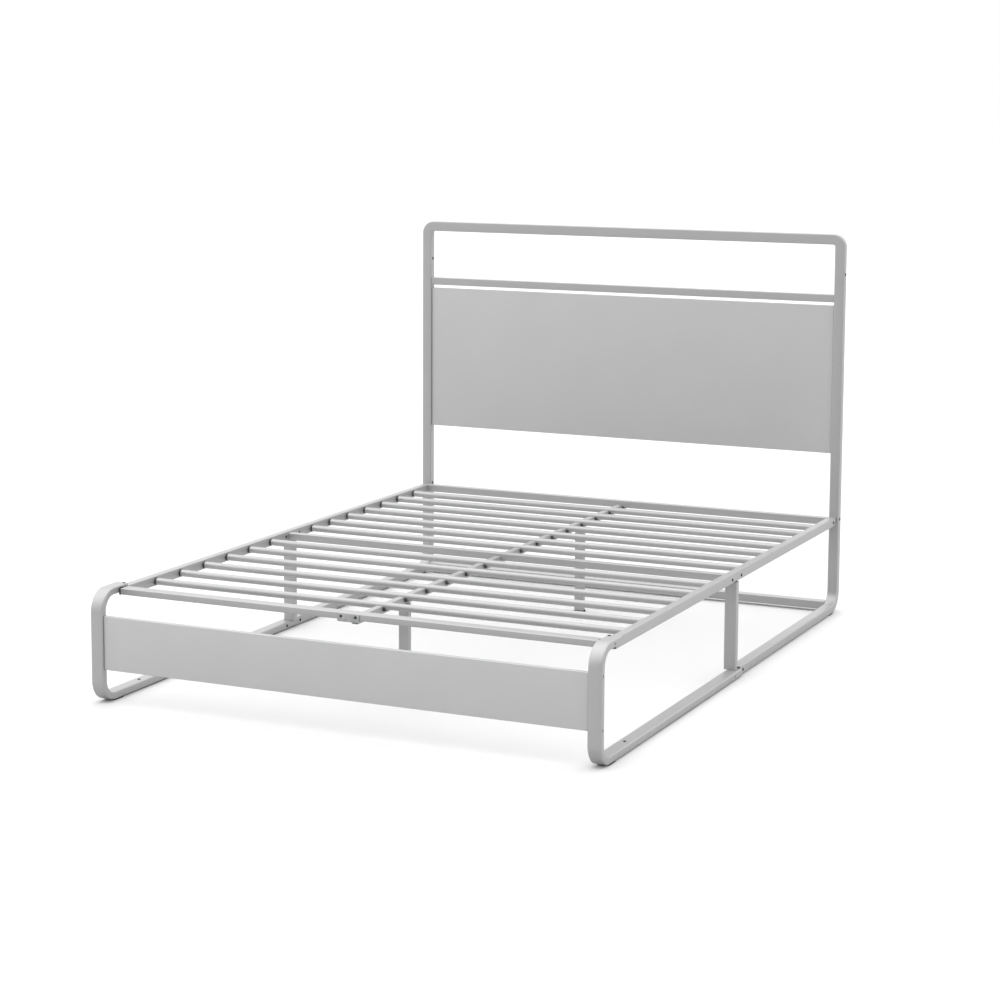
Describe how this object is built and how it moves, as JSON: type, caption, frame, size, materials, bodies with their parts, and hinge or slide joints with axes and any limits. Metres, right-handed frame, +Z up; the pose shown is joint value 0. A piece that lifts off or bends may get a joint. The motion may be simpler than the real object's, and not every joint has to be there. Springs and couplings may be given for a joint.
{
  "type": "metal bed frame",
  "caption": "Queen platform bed frame of bent steel tube with looped foot corners, round slats, a foot panel and a panelled headboard.",
  "frame": {"origin": "on the floor, in the middle of the frame's footprint", "axes": "+Z up, +Y towards the headboard, the foot panel faces -Y, +X to the right as seen from the foot end"},
  "size_m": [1.53, 2.066, 1.236],
  "materials": {
    "silver_powder_coat": "satin silver-grey powder coat on tube",
    "silver_sheet": "satin silver-grey powder coat on folded sheet",
    "zinc_plated_steel": "zinc plated",
    "black_rubber": "matt moulded rubber"
  },
  "bodies": {
    "root": {"centre_bracket": "zinc_plated_steel", "centre_leg_front": "silver_powder_coat", "centre_leg_pad_front": "black_rubber", "centre_leg_pad_rear": "black_rubber", "centre_leg_rear": "silver_powder_coat", "centre_rail_front": "silver_powder_coat", "centre_rail_rear": "silver_powder_coat", "centre_rail_splice": "zinc_plated_steel", "floor_cross_rail_head": "silver_powder_coat", "floor_pad_front_left": "black_rubber", "floor_pad_front_right": "black_rubber", "floor_pad_rear_left": "black_rubber", "floor_pad_rear_right": "black_rubber", "foot_cross_rail": "silver_powder_coat", "foot_loop_left": "silver_powder_coat", "foot_loop_right": "silver_powder_coat", "foot_panel": "silver_sheet", "head_cross_rail": "silver_powder_coat", "head_leg_left": "silver_powder_coat", "head_leg_right": "silver_powder_coat", "headboard_hoop": "silver_powder_coat", "headboard_panel": "silver_sheet", "headboard_upper_rail": "silver_powder_coat", "mid_cross_rail": "silver_powder_coat", "mid_leg_left": "silver_powder_coat", "mid_leg_right": "silver_powder_coat", "side_rail_front_left": "silver_powder_coat", "side_rail_front_right": "silver_powder_coat", "side_rail_rear_left": "silver_powder_coat", "side_rail_rear_right": "silver_powder_coat", "side_rail_splice_left": "zinc_plated_steel", "side_rail_splice_right": "zinc_plated_steel", "slat_01": "silver_powder_coat", "slat_02": "silver_powder_coat", "slat_03": "silver_powder_coat", "slat_04": "silver_powder_coat", "slat_05": "silver_powder_coat", "slat_06": "silver_powder_coat", "slat_07": "silver_powder_coat", "slat_08": "silver_powder_coat", "slat_09": "silver_powder_coat", "slat_10": "silver_powder_coat", "slat_11": "silver_powder_coat", "slat_12": "silver_powder_coat", "slat_13": "silver_powder_coat"}
  },
  "joints": []
}
